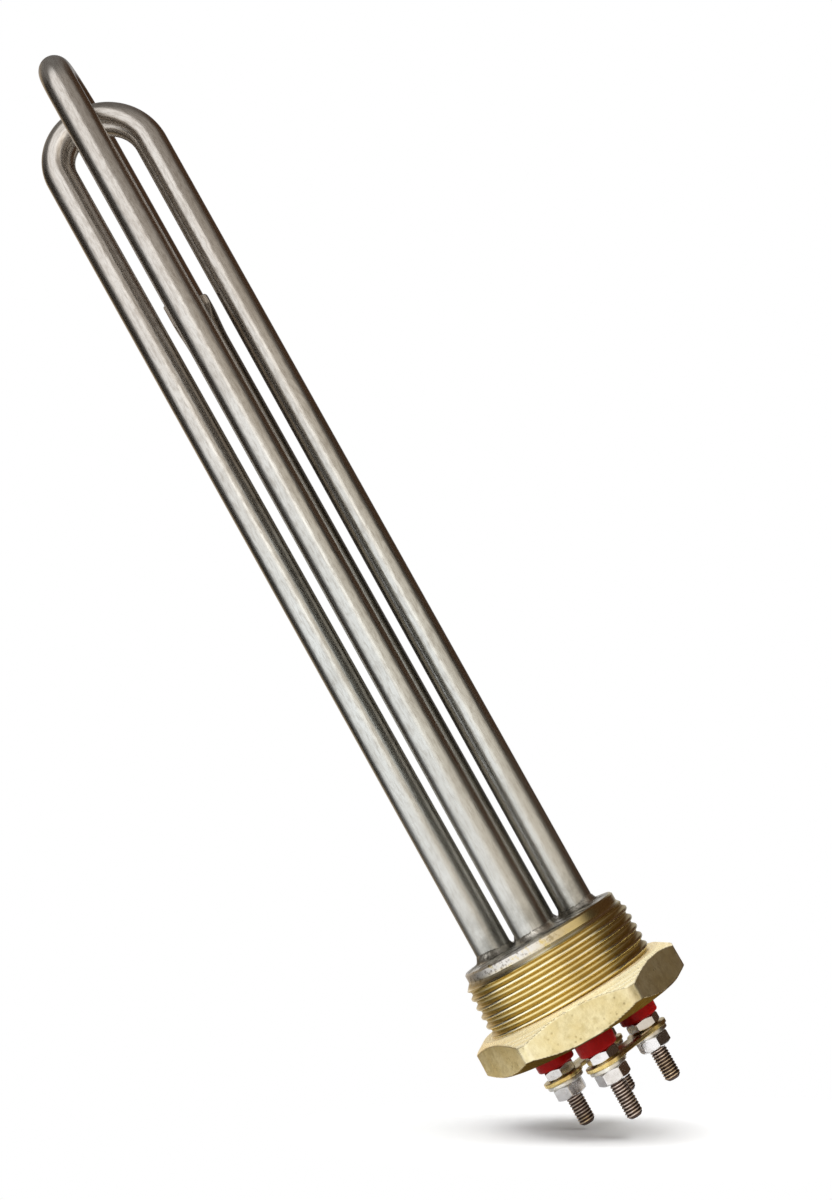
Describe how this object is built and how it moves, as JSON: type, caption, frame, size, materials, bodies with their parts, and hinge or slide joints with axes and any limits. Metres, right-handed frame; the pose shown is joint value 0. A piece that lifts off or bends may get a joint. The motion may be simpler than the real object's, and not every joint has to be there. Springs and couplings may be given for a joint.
{
  "type": "screw plug immersion heater",
  "caption": "Immersion heater with a brass hexagon screw plug, crossed steel hairpin elements, a central sensor pocket and linked stud terminals under the plug.",
  "frame": {"origin": "middle of the plug's seat face, on the thread's axis", "axes": "+Z along the thread's axis from the seat face to the hairpin bends, X through the legs of the shorter hairpin"},
  "size_m": [0.0516, 0.048, 0.3012],
  "materials": {
    "plug_brass": "sand-cast flats, bright turned thread",
    "sheath_steel": "satin drawn tube, brushed along its length",
    "pocket_steel": "satin drawn tube, hammered tip",
    "powder_white": "pressed powder, matte",
    "coil_wire": "oxidised resistance wire",
    "stud_steel": "dark rolled thread with bright crests",
    "bush_red": "smooth moulded silicone",
    "nut_plated": "bright zinc plate",
    "washer_plated": "bright zinc plate",
    "link_brass": "stamped strip, rubbed",
    "braze_silver": "frozen silver braze, slightly lumpy"
  },
  "bodies": {
    "root": {"screw_plug": "plug_brass", "element_a_sheath": "sheath_steel", "element_b_sheath": "sheath_steel", "element_a_powder": "powder_white", "element_b_powder": "powder_white", "element_a_coil": "coil_wire", "element_b_coil": "coil_wire", "stud_left": "stud_steel", "stud_right": "stud_steel", "stud_front": "stud_steel", "stud_back": "stud_steel", "bush_left": "bush_red", "bush_right": "bush_red", "bush_front": "bush_red", "bush_back": "bush_red", "inner_nuts": "nut_plated", "outer_nuts": "nut_plated", "washers": "washer_plated", "link_left_back": "link_brass", "link_front_right": "link_brass", "sensor_pocket": "pocket_steel", "braze": "braze_silver"}
  },
  "joints": []
}
